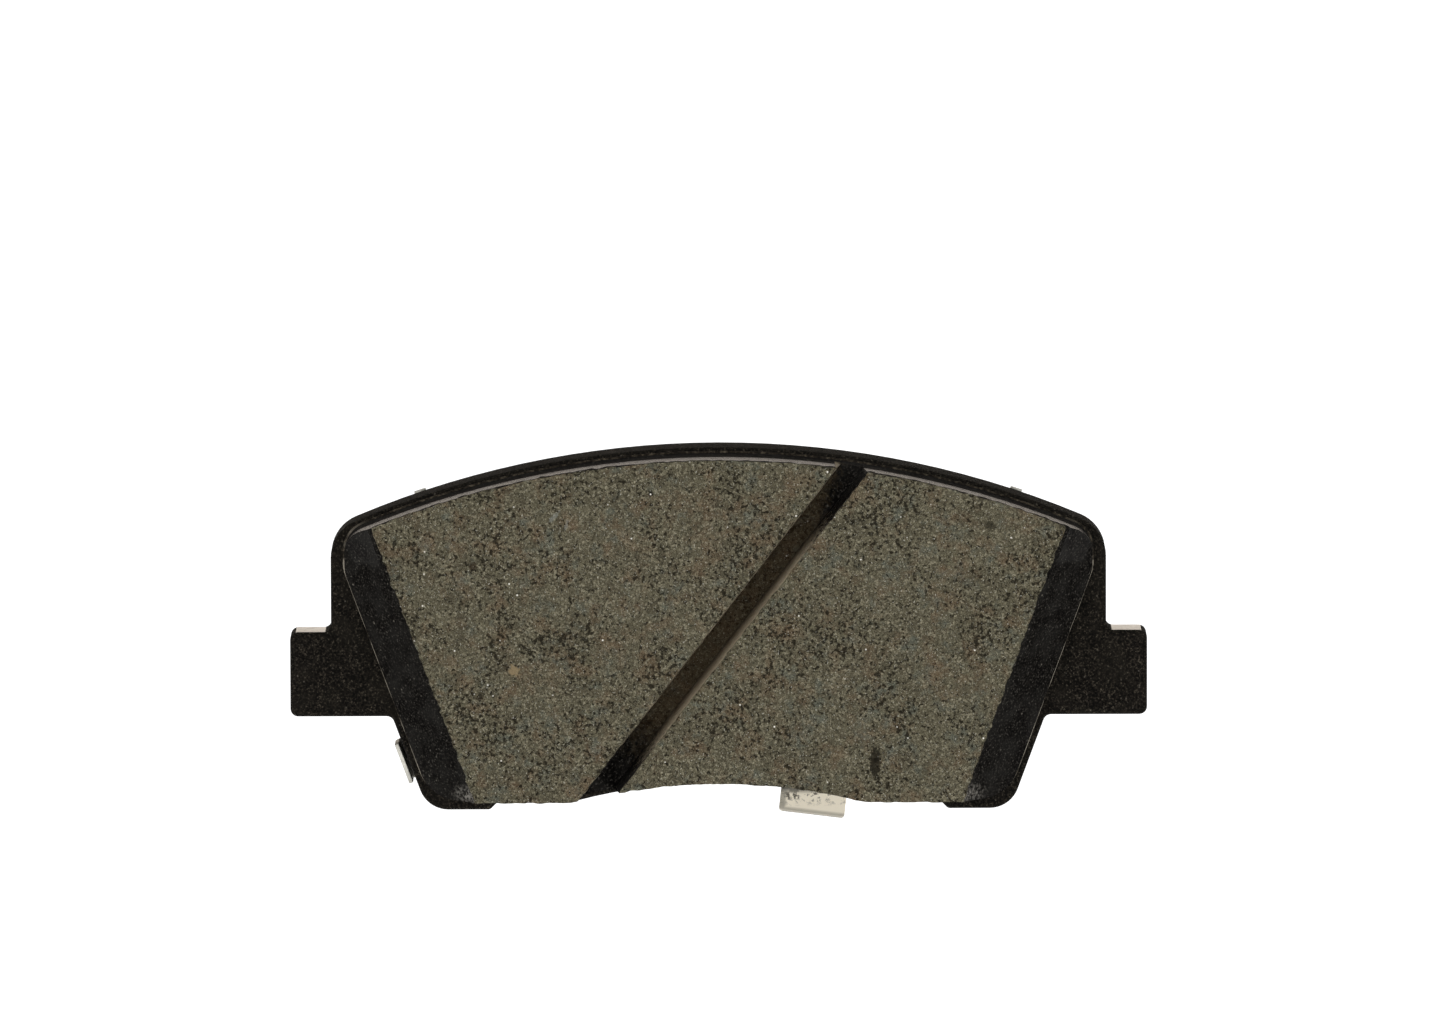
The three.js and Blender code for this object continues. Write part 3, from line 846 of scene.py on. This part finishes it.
def mould_lining():
    """The lining, gridded finely so that its pores, grains and chipped edges are in its mesh."""
    low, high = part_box("friction_block")
    lining = welded_copy("friction_block", "ground_lining")
    apply(
        lining,
        "grid",
        "REMESH",
        mode="SHARP",
        octree_depth=GRID_DEPTH,
        scale=GRID_SHARE,
        use_remove_disconnected=False,
    )
    ground = weigh(lining, "ground_face", lambda v: 1.0 if v.co.y < low.y + FACE_BAND else 0.0)
    lumps = bpy.data.textures.new("grain_lumps", "CLOUDS")
    lumps.noise_scale = GRAIN_SIZE
    apply(
        lining,
        "grains",
        "DISPLACE",
        texture=lumps,
        strength=GRAIN_DEPTH,
        mid_level=0.8,
        vertex_group=ground,
    )
    rim = weigh(
        lining,
        "rim",
        lambda v: 1.0 if v.co.y < low.y + RIM_BAND and v.normal.y > -0.9 else 0.0,
    )
    chips = bpy.data.textures.new("edge_chips", "CLOUDS")
    chips.noise_scale = CHIP_LENGTH
    chips.contrast = 5
    chips.intensity = 2
    apply(
        lining,
        "chips",
        "DISPLACE",
        texture=chips,
        strength=CHIP_DEPTH,
        mid_level=1.0,
        vertex_group=rim,
    )
    open_mesh(lining, "FACE")
    pick_faces(lining, lambda centre, facing: facing.y > 0.9 and centre.y > high.y - 0.1 * MM)
    bpy.ops.mesh.delete(type="FACE")
    pick_edges(lining, lambda edge: edge.is_boundary)
    bpy.ops.mesh.edge_face_add()
    close_mesh()
    lining.data.materials.append(friction_lining())
    soften(lining, 50)
    fit(lining, "friction_block")


def squeeze_bond():
    """The bond line, pushed out past the lining's foot as a thin flash."""
    low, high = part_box("bond_film")
    bond = welded_copy("bond_film", "bond_flash")
    size = high - low
    open_mesh(bond, "FACE")
    bpy.ops.mesh.select_all(action="SELECT")
    bpy.ops.transform.resize(
        value=(1 + 2 * FLASH / size.x, 1, 1 + 2 * FLASH / size.z),
        center_override=(low + high) / 2,
    )
    close_mesh()
    bond.data.materials.append(cured_resin())
    soften(bond, 35)
    fit(bond, "bond_film")


def bend_cover():
    """The cover shim, with the edges of its sheet broken."""
    cover = welded_copy("cover_shim", "bent_cover_shim")
    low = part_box("cover_shim")[0]
    open_mesh(cover, "EDGE")
    pick_edges(
        cover,
        lambda edge: all(v.co.z < low.z + TAB_TIP for v in edge.verts)
        and abs(edge.verts[0].co.x - edge.verts[1].co.x) < 0.3 * MM,
    )
    bpy.ops.mesh.bevel(offset=TIP_RADIUS, segments=6)
    pick_edges(cover, lambda edge: edge.calc_face_angle(0) > math.radians(70))
    bpy.ops.mesh.bevel(offset=SHEET_BEVEL, segments=2)
    close_mesh()
    cover.data.materials.append(galvanised_sheet())
    cover.data.materials.append(sheared_edge())
    for face in cover.data.polygons:
        at_tip = face.center.z < low.z + SHEARED_BAND and face.normal.z < -0.7
        face.material_index = 1 if at_tip else 0
    soften(cover, 35)
    fit(cover, "cover_shim")


def coat_shim_layers():
    """The hidden layers keep their CAD shapes and get their real finishes."""
    rubber = rubber_coat()
    finishes = {
        "underlayer": underlayer_coat(),
        "shim_adhesive": pressure_adhesive(),
        "shim_inner_rubber": rubber,
        "shim_core": cold_rolled_core(),
        "shim_outer_rubber": rubber,
    }
    for node, finish in finishes.items():
        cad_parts[node].material_slots[0].material = finish


# ---- Studio ----


def lay_floor():
    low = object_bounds()[0]
    bpy.ops.mesh.primitive_plane_add(size=12, location=(0, 0, low.z))
    floor = bpy.context.object
    floor.name = "floor"
    floor.data.materials.append(light_table())


def hang_softbox(name, place, size, power, aim):
    lamp = bpy.data.lights.new(name, "AREA")
    lamp.shape = "RECTANGLE"
    lamp.size, lamp.size_y = size
    lamp.energy = power
    box = bpy.data.objects.new(name, lamp)
    box.location = place
    box.rotation_euler = (Vector(aim) - Vector(place)).to_track_quat("-Z", "Y").to_euler()
    bpy.context.scene.collection.objects.link(box)


def light_studio():
    """A bright strip of backdrop that the crown reflects, a dim room, a soft box above, and a low
    one in front that reaches the tab under the lining."""
    world = bpy.data.worlds.new("studio")
    bpy.context.scene.world = world
    world.use_nodes = True
    tree = world.node_tree
    direction = add(tree, "TexCoord").outputs["Generated"]
    behind = add(tree, "SeparateXYZ", {"Vector": direction}).outputs["Y"]
    behind = add(tree, "MapRange", {"Value": behind, "From Min": -1, "From Max": 1})
    room = add(
        tree,
        "ValToRGB",
        {"Fac": behind},
        stops=(
            (0, "#828282"),
            (0.2, "#616161"),
            (0.5, "#595959"),
            (0.92, "#595752"),
            (0.985, "#fff3e6"),
        ),
    )
    sky = tree.nodes["Background"]
    tree.links.new(room.outputs["Color"], sky.inputs["Color"])
    sky.inputs["Strength"].default_value = 1.1
    hang_softbox("overhead_box", place=(0, -0.35, 0.9), size=(1.2, 0.7), power=8, aim=(0, 0, 0))
    hang_softbox(
        "low_front_box", place=(0, -0.9, 0.02), size=(1.2, 0.08), power=3, aim=(0, 0, 0.02)
    )
    bpy.context.scene.view_settings.view_transform = "Standard"


def place_camera():
    view = Vector((0, math.cos(CAMERA_ELEVATION), -math.sin(CAMERA_ELEVATION)))
    up = Vector((0, math.sin(CAMERA_ELEVATION), math.cos(CAMERA_ELEVATION)))
    camera = bpy.data.objects.new("camera", bpy.data.cameras.new("camera"))
    camera.location = CAMERA_TARGET - view * CAMERA_DISTANCE
    aim = CAMERA_TARGET + Vector((AIM_RIGHT, 0, 0)) + up * AIM_UP
    towards = (aim - camera.location).to_track_quat("-Z", "Y")
    camera.rotation_euler = (towards.to_matrix() @ Matrix.Rotation(CAMERA_ROLL, 3, "Z")).to_euler()
    camera.data.sensor_width = SENSOR
    camera.data.lens = SENSOR * CAMERA_DISTANCE / FRAME_WIDTH
    camera.data.clip_start = 0.05
    camera.data.clip_end = 50
    bpy.context.scene.collection.objects.link(camera)
    bpy.context.scene.camera = camera


stamp_plate()
mould_lining()
squeeze_bond()
bend_cover()
coat_shim_layers()
lay_floor()
light_studio()
place_camera()
bpy.ops.object.select_all(action="DESELECT")
